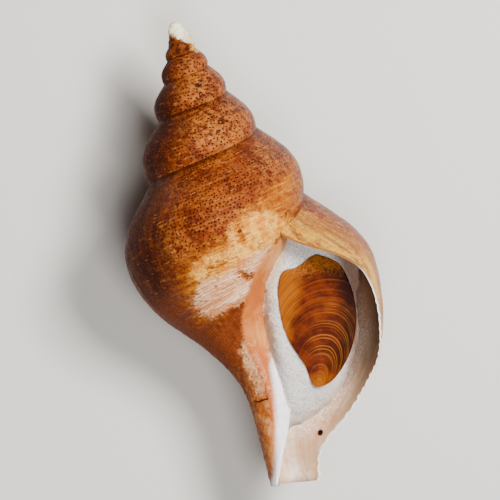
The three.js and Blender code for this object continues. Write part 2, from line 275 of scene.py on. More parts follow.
def coiled_sheet():
    """Node group: a part of the wall, as a skin that runs down its outer face and up its inner one."""
    tree, given, result = new_tree(
        "coiled_sheet", "GeometryNodeTree",
        [(label, "Int") for label in ("Steps", "Rows", "Inner Rows", "All Rows")]
        + [(label, "Float") for label in ("From Turn", "To Turn", "Crowding", "Thread Height",
                                          "Growth Line Height")],
        [("Mesh", "Geometry")])
    rows, inner_rows, crowding = given["Rows"], given["Inner Rows"], given["Crowding"]
    columns = rows + inner_rows + 1
    mesh = answer(tree, "GeometryNodeMeshGrid", [1.0, 1.0, given["Steps"] + 1, columns])
    across, upward, _ = parts_of(answer(tree, "GeometryNodeInputPosition"))
    back = 0.5 - across
    column = ((upward + 0.5) * (columns - 1)).work("ROUND")
    inside = column.work("GREATER_THAN", rows - 0.5) * column.work("LESS_THAN", columns - 1.5)
    up_inner = (1 - (column - rows) / (inner_rows - 1)).clamped()
    share = (column / (rows - 1)).work("MINIMUM", up_inner) * (rows - 1) / (given["All Rows"] - 1)
    row = read_off(share, row_by_share)
    crowded = (back - crowding * (1 - (0 - back / crowding).work("EXPONENT"))) / (1 - crowding)
    nominal = (given["To Turn"] - (given["To Turn"] - given["From Turn"]) * crowded) * math.tau
    near = (nominal / (math.pi / 2) + 1).work("MAXIMUM", 0)
    lip_edge = read_off(row, LIP_EDGE)
    angle = nominal + near * near * lip_edge * math.radians(1)

    def point_at(this_angle, this_row):
        return answer(tree, "GeometryNodeGroup", {"Angle": this_angle, "Row": this_row}, node_tree=bare_point)

    small = 0.001
    around = vectors("SUBTRACT", point_at(angle + small, row), point_at(angle - small, row))
    downward = vectors("SUBTRACT", point_at(angle, row + small), point_at(angle, row - small))
    outward = vectors("NORMALIZE", vectors("CROSS_PRODUCT", around, downward))

    size, end = size_at(angle)
    scale = size / SUTURE_DEPTH
    girth = size * GIRTH_OF_SIZE
    bare = point_at(angle, row)
    radius = vectors("LENGTH", vectors("MULTIPLY", bare, (1, 0, 1)))
    rim = (lip_edge * math.radians(1) - angle) * radius
    glaze = (read_off(row, GLAZE_EDGE) * math.radians(1) - angle) * radius
    glaze = glaze.work("MINIMUM", (angle - math.radians(BODY_FROM)) * radius)
    glazed = ease(glaze, -0.6, 1.2)
    from_end = (LAST_ROW - row) * size * (end - BASE_ROW) / (LAST_ROW - BASE_ROW)

    grown = scale ** 0.6 * WALL_THICK
    wall = grown + ease(nominal, math.radians(-35), 0) * (LIP_THICK - grown)
    fold = ease(angle, math.radians(-352), math.radians(-318)) * (
        1 - ease(angle, math.radians(-240), math.radians(-200)))
    bead = fold * (1 - ease(from_end, 1.0, 5.0))
    blunt = (1 - (1 - (from_end / 1.3).work("MINIMUM", 1)) ** 2).work("SQRT")
    blunt = 1 - fold * (1 - blunt)
    thickness = (wall + bead * 0.9) * blunt
    middle = wall * -0.5 - bead * 0.1

    thread = share * THREADS
    uneven = noise(spot(girth, thread, 0), 0.35, 2)
    crest = (thread * math.tau).work("COSINE") * 0.5 + (thread * math.pi).work("COSINE") * 0.22
    threads = (crest * given["Thread Height"] * scale * (uneven * 1.8 - 0.15)
               * (0.22 + 0.78 * ease(row, 1.66, 1.95)))
    lines = (noise(spot(girth * 0.9, thread * 0.06, 3), 1.0, 3) - 0.5) * given["Growth Line Height"] * scale
    swelling = (noise(bare, 0.07, 1) - 0.5) * 0.5 * scale
    relief = (threads + lines) * (1 - glazed) + glazed * 0.12 + swelling
    near_rim = 1 - ease(rim, 0, 2.6)
    low_lip = ease(row, 1.35, 1.6)
    flare = near_rim * near_rim * LIP_FLARE * low_lip
    crimp_share = (noise(spot(thread * 0.3, 2, 5), 1.0, 2) * 2.4 - 0.5).clamped()
    crimp = (thread * math.pi).work("COSINE") * near_rim * near_rim * LIP_CRIMP * low_lip * crimp_share
    face = relief * (1 - inside) + flare + crimp
    raise_by = middle + thickness * (0.5 - inside) + face
    trough = 1 - (thread * math.pi).work("COSINE")
    pull_back = trough * (1 - ease(rim, 0, 1.2)) * LIP_CRIMP * low_lip * crimp_share
    place = vectors("ADD", bare, vectors("SCALE", outward, scale=raise_by))
    place = vectors("SUBTRACT", place, vectors("SCALE", vectors("NORMALIZE", around), scale=pull_back))
    x, y, z = parts_of(vectors("ADD", place, ROW_FROM_SHELL))
    place = vectors("SCALE", spot(x, y, z.work("MAXIMUM", inside * 0.5)), scale=MM)
    for name, amount in (("angle", angle), ("row", row), ("inside", inside), ("thread", thread),
                         ("rim", rim), ("size", size)):
        mesh = answer(tree, "GeometryNodeStoreNamedAttribute",
                      {"Geometry": mesh, "Name": name, "Value": amount}, data_type="FLOAT", domain="POINT")
    feed(result, [answer(tree, "GeometryNodeSetPosition", {"Geometry": mesh, "Position": place})])
    return tree


# A row for each share of the way down the wall's outer face, so that the threads are evenly spaced.
steps = [math.dist(a, b) for a, b in zip(WHORL_PROFILE, WHORL_PROFILE[1:])]
lengths = np.concatenate([[0], np.cumsum(steps)])
profile_depths = np.array([depth for depth, _ in WHORL_PROFILE])
last_length = np.interp(LAST_ROW, profile_depths, lengths)
row_by_share = [
    (float(length / last_length), SUTURE_ROW + (depth - 0.98) * (LAST_ROW - SUTURE_ROW) / (LAST_ROW - 0.98))
    for length, depth in zip(lengths, profile_depths) if depth < LAST_ROW] + [(1.0, LAST_ROW)]

bare_point = bare_wall_point()
sheet = coiled_sheet()


def end_tree(shape, material, result):
    """Ends a tree: makes its instances real and sets its material."""
    real = answer(shape.tree, "GeometryNodeRealizeInstances", [shape])
    feed(result, [answer(shape.tree, "GeometryNodeSetMaterial", {"Geometry": real, "Material": material})])
    return shape.tree


def shell_wall():
    """Node tree: the body whorl's wall joined to the spire's, welded where they meet."""
    tree, given, result = new_tree(
        "shell_wall", "GeometryNodeTree",
        [("Geometry", "Geometry"), ("First Turn", "Float", -5.0), ("Join Turn", "Float", -1.0),
         ("Body Steps", "Int", 120), ("Spire Steps", "Int", 200), ("Thread Height", "Float", 0.1),
         ("Growth Line Height", "Float", 0.1), ("Material", "Material")],
        [("Geometry", "Geometry")])
    first_turn, join_turn = given["First Turn"], given["Join Turn"]
    join = add(tree, "GeometryNodeJoinGeometry")
    for steps_wanted, from_turn, to_turn, threads, inner_rows, crowding in (
            ("Body Steps", join_turn, 0.0, THREADS, BODY_INNER_ROWS, 0.02),
            ("Spire Steps", first_turn, join_turn, SPIRE_THREADS, SPIRE_INNER_ROWS, 0.0001)):
        feed(join, [answer(tree, "GeometryNodeGroup", {
            "From Turn": from_turn, "To Turn": to_turn, "Steps": given[steps_wanted],
            "Rows": threads * ROWS_PER_THREAD + 1, "Inner Rows": inner_rows,
            "All Rows": THREADS * ROWS_PER_THREAD + 1, "Crowding": crowding,
            "Thread Height": given["Thread Height"], "Growth Line Height": given["Growth Line Height"]},
            node_tree=sheet)])
    welded = answer(tree, "GeometryNodeMergeByDistance",
                    {"Geometry": Amount(join.outputs[0]), "Distance": 2e-6})
    smooth = answer(tree, "GeometryNodeSetShadeSmooth", {"Geometry": welded})
    return end_tree(smooth, given["Material"], result)


def settle(thing):
    """Turns what an object's modifiers make into its own plain mesh."""
    graph = bpy.context.evaluated_depsgraph_get()
    mesh = bpy.data.meshes.new_from_object(
        thing.evaluated_get(graph), preserve_all_data_layers=True, depsgraph=graph)
    thing.modifiers.clear()
    thing.data = mesh


def made_by(tree, values, name, on=None):
    """Runs a node tree on a mesh, or on nothing, and keeps the result as a plain mesh object."""
    made = place_in_scene(name, on.copy() if on else bpy.data.meshes.new(name))
    modifier = made.modifiers.new(name, "NODES")
    modifier.node_group = tree
    for item in tree.interface.items_tree:
        if item.in_out == "INPUT" and item.name in values:
            modifier[item.identifier] = values[item.name]
    settle(made)
    return made


lime = bpy.data.materials.new("whelk_lime")
shell = made_by(shell_wall(), {
    "First Turn": FIRST_TURN, "Join Turn": JOIN_TURN, "Body Steps": BODY_STEPS, "Spire Steps": SPIRE_STEPS,
    "Thread Height": THREAD_HEIGHT, "Growth Line Height": GROWTH_LINE_HEIGHT, "Material": lime},
    "whelk_shell")

# The pillar that the whorls leave round the axis, and the blunt nucleus at the spire's tip, each
# as rings of centre x, depth, centre z and radius.
PILLAR = [(0, 12, 0, 0.5), (0, 40, 0, 1.9), (0, 66, 0, 3.2), (0, 84, 0, 3.3), (0, 96, 0.2, 3.0),
          (-0.6, 103, 0.6, 2.4), (-1.8, 108, 1.0, 1.6)]
NUCLEUS = [(-0.35, -0.05, 0, 0.15), (-0.33, 0.0, 0, 0.62), (-0.3, 0.3, 0, 1.15), (-0.28, 0.9, 0, 1.55),
           (-0.24, 1.7, 0, 1.88), (-0.15, 2.7, 0, 2.15), (0, 3.9, 0, 2.6), (0, 5, 0, 2.95),
           (0, 6.2, 0, 3.3), (0, 7.8, 0, 3.0)]


def values_of(mesh, name):
    """A mesh's stored numbers of a name, one for each corner."""
    values = np.zeros(len(mesh.attributes[name].data), np.float32)
    mesh.attributes[name].data.foreach_get("value", values)
    return values


def corners_of(mesh):
    """The mesh's vertices in millimetres of the part's frame, as rows of an array."""
    corners = np.zeros(len(mesh.vertices) * 3, np.float32)
    mesh.vertices.foreach_get("co", corners)
    return corners.reshape(-1, 3) / MM


def add_post(body, rings, sides, rounds, wear, facts):
    """A closed smooth post through the listed rings, worn lumpy, with the given facts at its corners."""
    listed = np.array(rings, float)
    stations = np.linspace(0, len(rings) - 1, rounds)
    smooth = np.array([np.interp(stations, range(len(rings)), column) for column in listed.T]).T
    for _ in range(3):
        smooth[1:-1] = (smooth[:-2] + 2 * smooth[1:-1] + smooth[2:]) / 4
    loops = []
    for x, depth, z, radius in smooth:
        loop = []
        for turn in np.arange(sides) / sides * math.tau:
            out = Vector((math.cos(turn), 0, math.sin(turn)))
            at = Vector((x, -depth, z)) + out * radius
            at += out * (wear * fractal(at * 0.55, 0.7, 2.1, 4))
            loop.append(body.verts.new((at + ROW_FROM_SHELL) * MM))
        loops.append(loop)
    for upper, lower in zip(loops, loops[1:]):
        for i in range(sides):
            j = (i + 1) % sides
            body.faces.new((upper[i], upper[j], lower[j], lower[i])).smooth = True
    body.faces.new(reversed(loops[0]))
    body.faces.new(loops[-1])
    for name, value in facts.items():
        layer = body.verts.layers.float[name]
        for corner in sum(loops, []):
            corner[layer] = value


def lace_up(body, outer, inner):
    """Closes the gap between two rows of corners that run side by side with different counts."""
    i = j = 0
    while i < len(outer) - 1 or j < len(inner) - 1:
        ahead = (i + 1) / (len(outer) - 1) if i < len(outer) - 1 else 2
        behind = (j + 1) / (len(inner) - 1) if j < len(inner) - 1 else 2
        if ahead <= behind:
            face = (outer[i], outer[i + 1], inner[j])
            i += 1
        else:
            face = (outer[i], inner[j + 1], inner[j])
            j += 1
        body.faces.new(face).smooth = True


body = bmesh.new()
body.from_mesh(shell.data)
rim, row, inside = (body.verts.layers.float[name] for name in ("rim", "row", "inside"))
edge = sorted((corner for corner in body.verts if corner.is_boundary and abs(corner[rim]) < 0.01),
              key=lambda corner: corner[row])
lace_up(body, *([corner for corner in edge if (corner[inside] > 0.5) == inner] for inner in (False, True)))
closing = bmesh.ops.holes_fill(body, edges=[side for side in body.edges if side.is_boundary], sides=0)
bmesh.ops.triangulate(body, faces=closing["faces"])
add_post(body, PILLAR, 32, 60, 0.0, {"size": 40.0, "row": 2.3, "rim": 50.0, "angle": -5.5})
add_post(body, NUCLEUS, 48, 60, 0.32, {"size": 4.5, "row": 1.0, "rim": 50.0, "angle": -31.0})
body.to_mesh(shell.data)
body.free()
shell.data.materials.clear()
shell.data.materials.append(lime)
shell.data.polygons.foreach_set("material_index", [0] * len(shell.data.polygons))


# The shell's colours. Worn patches, and a darker left side that is partly painted shade, are traced as
# outlines in the camera's view, in a square of 500 by 500, and kept as each corner's depth inside the
# outline. The brown outer skin is worn through to cream lime beside the mouth, and pin holes dot it
# in rows along the threads.
PICTURE_SIDE = 500
PIXEL = VIEW_WIDTH / PICTURE_SIDE  # one step of the picture, in millimetres
OUTLINES = {
    "cream": [[(193, 268), (203, 257), (214, 253), (226, 249), (230, 243), (228, 236), (230, 227),
               (240, 219), (252, 214), (266, 211), (276, 215), (287, 218), (292, 221), (282, 231),
               (273, 244), (262, 254), (250, 262), (238, 271), (222, 279), (206, 284), (196, 290),
               (190, 280)]],
    "chalk": [[(194, 288), (205, 281), (222, 276), (236, 267), (248, 259), (260, 251), (269, 246),
               (267, 258), (260, 272), (253, 288), (247, 301), (236, 304), (228, 307), (221, 313),
               (212, 318), (202, 314), (196, 307), (191, 298)]],
    "remains": [[(236, 226), (241, 226), (243, 232), (248, 235), (244, 240), (238, 243), (236, 236)],
                [(235, 271), (240, 268), (246, 272), (253, 273), (254, 279), (247, 279), (241, 277)],
                [(204, 266), (216, 262), (230, 258), (233, 261), (220, 268), (206, 271)],
                [(190, 280), (196, 277), (200, 284), (196, 292), (193, 300), (189, 296)],
                [(218, 245), (229, 246), (227, 251), (214, 253)]],
    "tan": [[(180, 272), (196, 252), (214, 238), (232, 224), (244, 210), (258, 196), (270, 182),
             (280, 170), (287, 158), (296, 154), (304, 172), (308, 200), (300, 214), (287, 228),
             (272, 250), (250, 270), (240, 302), (215, 324), (196, 320), (184, 302)]],
    "gold": [[(186, 56), (203, 60), (216, 76), (222, 92), (212, 104), (196, 106), (184, 98), (180, 80)],
             [(192, 114), (238, 104), (250, 118), (242, 138), (214, 152), (194, 150), (184, 132)],
             [(262, 140), (285, 152), (296, 158), (290, 176), (272, 180), (258, 160)],
             [(150, 226), (172, 226), (190, 252), (176, 262), (158, 256)]],
    # The shell's darker left side: partly its own darker brown, partly painted shade where the light falls
    # off.
    "dark_and_shaded": [[(120, 30), (172, 38), (177, 60), (176, 84), (176, 104), (184, 126), (176, 150), (166, 178),
              (164, 205), (166, 232), (166, 255), (168, 274), (180, 302), (198, 322), (212, 324),
              (238, 306), (241, 330), (244, 350), (246, 372), (250, 392), (252, 410), (256, 440),
              (262, 470), (267, 500), (100, 500)]],
    "suture": [[(303, 188), (309, 190), (309, 202), (304, 211), (294, 222), (284, 232), (279, 230),
                (288, 219), (298, 208), (303, 198)]],
    "sand": [[(243, 342), (252, 348), (262, 362), (268, 384), (272, 410), (274, 440), (272, 476),
              (266, 470), (261, 444), (256, 416), (251, 394), (245, 374), (240, 354)]],
    "crust": [[(243, 344), (250, 346), (256, 360), (262, 378), (264, 394), (256, 396), (250, 380),
               (244, 362)]],
    "glazed": [[(292, 219), (284, 229), (276, 242), (262, 258), (252, 276), (245, 296), (241, 316),
                (241, 330), (245, 348), (253, 364), (261, 378), (266, 392), (269, 402), (271, 500),
                (340, 500), (340, 219)]],
    "fold": [[(280, 346), (271, 354), (269, 366), (271, 380), (273, 390), (274, 402), (275, 420),
              (275, 440), (274, 462), (272, 476), (266, 484), (266, 500), (310, 500), (310, 380),
              (294, 346)]],
}
LINT = [[(283, 428), (292, 418), (306, 410), (322, 398), (338, 382), (350, 360), (360, 368), (348, 394),
         (338, 410), (324, 424), (306, 438), (288, 446)],
        [(346, 258), (358, 274), (368, 300), (373, 330), (369, 352), (352, 376), (350, 330), (346, 290)]]
SCARS = [  # places in the picture, with each scar's radius in millimetres and how hollow its middle is
    (197.5, 85.5, 0.75, 0), (201, 94.5, 0.65, 0.7), (225, 102, 0.6, 0.3), (243, 108.5, 0.7, 0),
    (220.5, 122.5, 0.75, 1), (218, 132, 0.5, 0.2), (205, 71, 0.5, 0.8), (188, 62, 0.4, 0.5),
    (240, 231, 0.55, 0), (178, 205, 0.5, 0), (216, 286, 0.28, 0), (286, 214, 0.4, 0)]
STAIN = (320.6, 433, 0.85)  # its place in the picture and its radius in millimetres
CRACK = [(255, 401.5), (259, 402), (263, 400), (267.5, 399)]
GILT_AT, RUST_AT = (194, 49), (172, 37)
PITS_APART, PIT_ROWS_APART = 1.02, 0.95


def depth_inside(outlines, spots):
    """How deep each spot lies inside the outlines, in their own units; negative outside them."""
    best = np.full(len(spots), -1e9)
    for outline in outlines:
        ends = np.array(outline, float)
        starts = np.roll(ends, 1, axis=0)
        nearest = np.full(len(spots), 1e9)
        inside = np.zeros(len(spots), bool)
        for start, end in zip(starts, ends):
            along = end - start
            share = np.clip((spots - start) @ along / (along @ along), 0, 1)
            nearest = np.minimum(nearest, np.linalg.norm(spots - start - share[:, None] * along, axis=1))
            crosses = (start[1] > spots[:, 1]) != (end[1] > spots[:, 1])
            rise = np.where(along[1] == 0, 1, along[1])
            inside ^= crosses & (spots[:, 0] < start[0] + along[0] * (spots[:, 1] - start[1]) / rise)
        best = np.maximum(best, np.where(inside, nearest, -nearest))
    return best


def picture_spots(places):
    """Where places in the part's frame show in the picture."""
    from_centre = places - np.array(VIEW_CENTRE)
    across, up = from_centre @ np.array(view_right), from_centre @ np.array(view_up)
    return np.stack([across, -up], axis=1) * PICTURE_SIDE / VIEW_WIDTH + PICTURE_SIDE / 2


def on_surface(tree, across, down):
    """The place on a surface that shows at a spot of the picture, in the part's frame."""
    middle = VIEW_CENTRE + (view_right * (across - PICTURE_SIDE / 2)
                            + view_up * (PICTURE_SIDE / 2 - down)) * VIEW_WIDTH / PICTURE_SIDE
    return tree.ray_cast((middle + to_viewer * 100) * MM, -to_viewer)[0] / MM


def normals_of(mesh):
    """The way that each of a mesh's vertices faces."""
    normals = np.zeros(len(mesh.vertices) * 3, np.float32)
    mesh.vertex_normals.foreach_get("vector", normals)
    return normals.reshape(-1, 3)


def keep_fact(mesh, name, values):
    """Stores a number at each of a mesh's vertices, under a name that its material can read."""
    mesh.attributes.new(name, "FLOAT", "POINT").data.foreach_set("value", values.astype(np.float32))


shell_spots = picture_spots(corners_of(shell.data))
is_inside = values_of(shell.data, "inside") > 0.5
fronted = np.where((np.degrees(values_of(shell.data, "angle")) < -150) & ~is_inside,
                   normals_of(shell.data) @ np.array(to_viewer), -1)
for name, outlines in OUTLINES.items():
    keep_fact(shell.data, name, np.minimum(depth_inside(outlines, shell_spots) * PIXEL, fronted * 14 - 1.5))
keep_fact(shell.data, "lint", np.where(is_inside, depth_inside(LINT, shell_spots) * PIXEL, -99))
shell_faces = BVHTree.FromObject(shell, bpy.context.evaluated_depsgraph_get())


def dye(red, green, blue):
    """A colour as it looks on a screen, 0 to 255, as the light that a material returns."""
    shares = [part / 255 for part in (red, green, blue)]
    return (*(part / 12.92 if part < 0.04045 else ((part + 0.055) / 1.055) ** 2.4 for part in shares), 1)


def fact(tree, name):
    """A number stored on the mesh, for its material."""
    return answer(tree, "ShaderNodeAttribute", output="Fac", attribute_name=name)


def paint(colour, *coats):
    """A colour with others laid over it in turn, each as far as its cover says."""
    for above, cover in coats:
        under, over = (tone if isinstance(tone, Amount) else dye(*tone) for tone in (colour, above))
        colour = answer(cover.tree, "ShaderNodeMix", {0: cover, 6: under, 7: over}, 2, data_type="RGBA")
    return colour


def frayed(amount, start, end, *noises):
    """An eased step along an amount, its edge frayed by noises, each with how far it frays it."""
    for cloud, width in noises:
        amount = amount + (cloud - 0.5) * width
    return ease(amount, start, end)


def bumped(lumps):
    """A surface's slope from the heights of its lumps in millimetres."""
    return answer(lumps.tree, "ShaderNodeBump", {"Height": lumps, "Distance": MM})


def away_from(place, across, down):
    """How far a place is from the one on the shell that shows at a spot of the picture."""
    return vectors("DISTANCE", place, on_surface(shell_faces, across, down))


def from_stretch(place, start, end):
    """How far a place is from the straight stretch between two others."""
    along, apart = end - start, vectors("SUBTRACT", place, start)
    share = (vectors("DOT_PRODUCT", apart, along) / along.length_squared).clamped()
    return vectors("DISTANCE", apart, vectors("SCALE", along, scale=share))


def grain_tree():
    """Node group: cloudy noise at five scales over places in millimetres, for every material here."""
    tree, given, result = new_tree("grain", "ShaderNodeTree", [("Place", "Vector")], [
        (label, "Float") for label in ("Clouds", "Blotches", "Mottles", "Grains", "Fine")])
    feed(result, [noise(given["Place"], *scale_detail_roughness) for scale_detail_roughness in (
        (0.07, 3, 0.5), (0.26, 4, 0.6), (0.75, 3, 0.6), (1.6, 4, 0.7), (5, 3, 0.7))])
    return tree


grain = grain_tree()


def start_of(material):
    """Opens a material's nodes: its tree, its surface, the place in millimetres and the grain there."""
    material.use_nodes = True
    tree = material.node_tree
    place = vectors("SCALE", answer(tree, "ShaderNodeTexCoord", output="Object"), scale=1 / MM)
    node = add(tree, "ShaderNodeGroup", {"Place": place}, node_tree=grain)
    return tree, tree.nodes["Principled BSDF"], place, [Amount(output) for output in node.outputs]


def paint_shell():
    """The shell's material, from its skin up: wear, pin holes, scars, glaze, crack, lining, rim and tip."""
    tree, surface, place, (clouds, blotches, mottles, grains, fine) = start_of(lime)
    size, thread, row, inside, rim = (fact(tree, name) for name in ("size", "thread", "row", "inside", "rim"))
    girth, down = size * GIRTH_OF_SIZE, thread * size * (last_length / THREADS)
    aside, up, _ = parts_of(place)
    crest = (thread * math.tau).work("COSINE") * 0.5 + 0.5
    growth = noise(spot(girth * 0.32, down * 0.05, 7), 1, 4)
    growth_fine = noise(spot(girth * 1.3, down * 0.12, 5), 1, 3, 0.6)
    streaks = noise(spot(girth * 0.06, down * 0.75, 1), 1, 4, 0.6)
    flecks = noise(spot(girth * 0.45, down * 1.3, 9), 1, 3, 0.65)

    tone = blotches * 0.3 + clouds * 0.25 + mottles * 0.2 + growth * 0.25
    gold_cover = frayed(fact(tree, "gold"), -3.5, 3.5, (blotches, 14))
    dark_and_shaded_cover = frayed(fact(tree, "dark_and_shaded"), -3.5, 3.5, (blotches, 12))
    low_rows = ease(row, 1.66, 1.86)
    ribs = frayed((thread * math.tau * 4).work("COSINE"), -0.1, 1.1, (mottles, 3)) * low_rows
    specks = answer(tree, "ShaderNodeTexVoronoi", {"Vector": place, "Scale": 1.3}, "Distance")
    specks = (1 - frayed(specks, 0.12, 0.3, (grains, 0.3))) * ease(row, 1.74, 1.86)
    brown = paint(
        (86, 29, 8),
        ((124, 54, 14), ease(tone, 0.41, 0.58)),
        ((150, 80, 24), ease(streaks * 0.4 + clouds * 0.3 + mottles * 0.3, 0.49, 0.6) * 0.7),
        ((172, 102, 40), gold_cover * ease(mottles, 0.36, 0.6) * 0.8),
        # Painted shade over the left side, partly its own darker brown, with lighter grains, rows, ribs and
        # specks in it.
        ((56, 13, 3), dark_and_shaded_cover * (0.62 + (1 - ease(growth, 0.4, 0.6)) * 0.35)),
        ((138, 66, 26), ease(grains * 0.5 + blotches * 0.5, 0.52, 0.62) * dark_and_shaded_cover * 0.5),
        ((128, 56, 24), dark_and_shaded_cover * low_rows * 0.6),
        ((168, 88, 30), dark_and_shaded_cover * ribs * 0.4),
        ((34, 6, 0), dark_and_shaded_cover * specks * 0.7),
        ((60, 16, 0), ease(mottles * 0.4 + grains * 0.6, 0.56, 0.64) * 0.45),
        # Pale flecks on the thread crests: partly the threads' own pale streaks, partly painted glints.
        ((206, 146, 74), crest * ease(flecks, 0.56, 0.66) * (1 - low_rows * 0.8) * 0.4))
    crusty = frayed(fact(tree, "crust"), -0.6, 0.8, (grains, 5))
    sand = paint(
        (146, 76, 28),
        ((200, 142, 90), ease(blotches * 0.5 + streaks * 0.5, 0.42, 0.58)),
        ((96, 36, 6), ease(flecks * 0.4 + mottles * 0.6, 0.55, 0.62) * 0.6),
        ((228, 190, 152), crusty * ease(grains, 0.4, 0.55) * 0.8))
    tan_cover = frayed(fact(tree, "tan"), -1.6, 3.0, (flecks, 12), (blotches, 8))
    tan = paint(
        (136, 62, 0),
        ((168, 96, 14), ease(streaks * 0.5 + mottles * 0.5, 0.42, 0.58)),
        ((208, 142, 40), ease(streaks * 0.6 + flecks * 0.4, 0.52, 0.6) * (0.3 + 0.7 * crest) * 0.6),
        ((84, 30, 0), ease(flecks, 0.56, 0.64) * (1 - crest) * 0.75))
    last_grown = 1 - frayed(rim, 16, 28, (blotches, 12))
    lip_cover = (1 - frayed(rim, 9.0, 13.5, (growth, 6), (blotches, 7))) * (1 - inside)
    lip = paint(
        (210, 158, 50),
        ((146, 76, 12), ease(growth_fine * 0.3 + growth * 0.4 + blotches * 0.3, 0.46, 0.58)),
        ((142, 72, 8), frayed(rim, 2.6, 6.4, (growth, 14), (growth_fine, 8)) * 0.75),
        ((96, 40, 4), ease(growth_fine * 0.5 + mottles * 0.5, 0.53, 0.62) * 0.6),
        ((236, 206, 128), ease(growth_fine * 0.6 + grains * 0.4, 0.52, 0.62) * 0.45),
        ((130, 58, 10), ease(flecks * 0.5 + grains * 0.5, 0.53, 0.6) * 0.5))
    brown = paint(
        brown,
        (sand, frayed(fact(tree, "sand"), -0.8, 1.2, (blotches, 4), (grains, 2)) * 0.95),
        (tan, tan_cover * 0.92),
        ((146, 66, 2), last_grown * (0.3 + 0.7 * ease(mottles, 0.4, 0.6)) * 0.8),
        ((214, 156, 70), last_grown * ease(growth_fine * 0.5 + mottles * 0.5, 0.52, 0.6) * 0.5),
        ((92, 30, 2), frayed(fact(tree, "suture"), -0.5, 0.7, (grains, 1.5)) * 0.7),
        # A dark band along every suture: partly its own dark line, partly painted shade in the crease.
        ((44, 8, 0), (1 - frayed(row, 0.985, 1.04, (mottles, 0.03))) * 0.8),
        (lip, lip_cover))

    cream = paint(
        (200, 120, 24),
        ((232, 174, 82), ease(blotches * 0.4 + streaks * 0.3 + mottles * 0.3, 0.42, 0.56)),
        ((150, 78, 14), ease(flecks * 0.6 + growth_fine * 0.4, 0.53, 0.62) * 0.6))
    chalk = paint(
        (204, 132, 80),
        ((226, 172, 130), ease(streaks * 0.5 + blotches * 0.5, 0.43, 0.56)),
        ((246, 220, 196), crest * ease(streaks * 0.6 + mottles * 0.4, 0.42, 0.58) * 0.7),
        ((150, 86, 44), ease(grains * 0.6 + flecks * 0.4, 0.56, 0.62) * 0.5))
    remains = frayed(fact(tree, "remains"), -0.5, 0.5, (grains, 4), (flecks, 5))
    bared = 1 - remains.work("MAXIMUM", ease(flecks * 0.5 + blotches * 0.5, 0.57, 0.61) * 0.8)

    across = noise(spot(girth, down, 5), 0.5, 1)
    row_shift = (down / PIT_ROWS_APART).work("FLOOR").work("MODULO", 2) * 0.5
    pits_where = spot(girth / PITS_APART + row_shift, down / PIT_ROWS_APART + (across - 0.5) * 0.5, 0)
    cells = add(tree, "ShaderNodeTexVoronoi", {"Vector": pits_where, "Scale": 1.0, "Randomness": 0.7},
                voronoi_dimensions="2D")
    chance = answer(tree, "ShaderNodeSeparateColor", [Amount(cells.outputs["Color"])])
    dotted = 0.32 + (1 - ease(row, 1.42, 1.74)) * 0.6 + (noise(place, 0.2, 2) - 0.5) * 2.4
    away = Amount(cells.outputs["Distance"]) / (0.17 + chance * 0.05)
    pit_cover = (chance.work("LESS_THAN", dotted) * (1 - tan_cover * 0.85) * (1 - lip_cover)
                 * (1 - last_grown * 0.8) * (1 - ease(row, 1.72, 1.84) * 0.85))
    pit = (1 - ease(away, 0.65, 1.25)) * pit_cover
    skin = paint(
        brown,
        ((70, 20, 0), (1 - ease(away, 1.0, 2.3)) * pit_cover * 0.45),
        ((26, 3, 0), pit * 0.95),
        (cream, frayed(fact(tree, "cream"), -1.2, 1.2, (grains, 3), (flecks, 5)) * bared),
        (chalk, frayed(fact(tree, "chalk"), -0.9, 0.9, (grains, 3), (flecks, 5)) * bared))

    for *where, radius, hollow in SCARS:
        away = away_from(place, *where) + (fine - 0.5) * 0.7
        skin = paint(skin, ((30, 6, 0), (1 - ease(away, radius * 0.75, radius * 1.15)) * 0.85))
        if hollow:
            skin = paint(skin, ((140, 72, 20), (1 - ease(away, radius * 0.25, radius * 0.55)) * hollow))

    glaze_cover = frayed(fact(tree, "glazed"), -0.3, 0.9, (grains, 1.6))
    crumbs = ease(fine * 0.6 + grains * 0.4, 0.55, 0.6) * frayed(fact(tree, "crust"), -2.0, 0.2, (mottles, 5))
    salmon = paint(
        (180, 94, 38),
        ((204, 136, 74), ease(clouds * 0.7 + blotches * 0.3, 0.4, 0.6)),
        ((224, 168, 118), ease(growth * 0.4 + clouds * 0.6, 0.46, 0.64) * 0.4),
        ((250, 226, 202), crumbs * 0.75))
    fold_cover = frayed(fact(tree, "fold"), -0.6, 1.4, (grains, 0.8))
    ridge = paint((238, 238, 250), ((254, 252, 255), ease(blotches, 0.4, 0.6)))
    stops = [on_surface(shell_faces, *stop) for stop in CRACK]
    cracked, *stretches = [from_stretch(place, start, end) for start, end in zip(stops, stops[1:])]
    for stretch in stretches:
        cracked = cracked.work("MINIMUM", stretch)
    crack = 1 - frayed(cracked, 0.1, 0.3, (fine, 0.35))

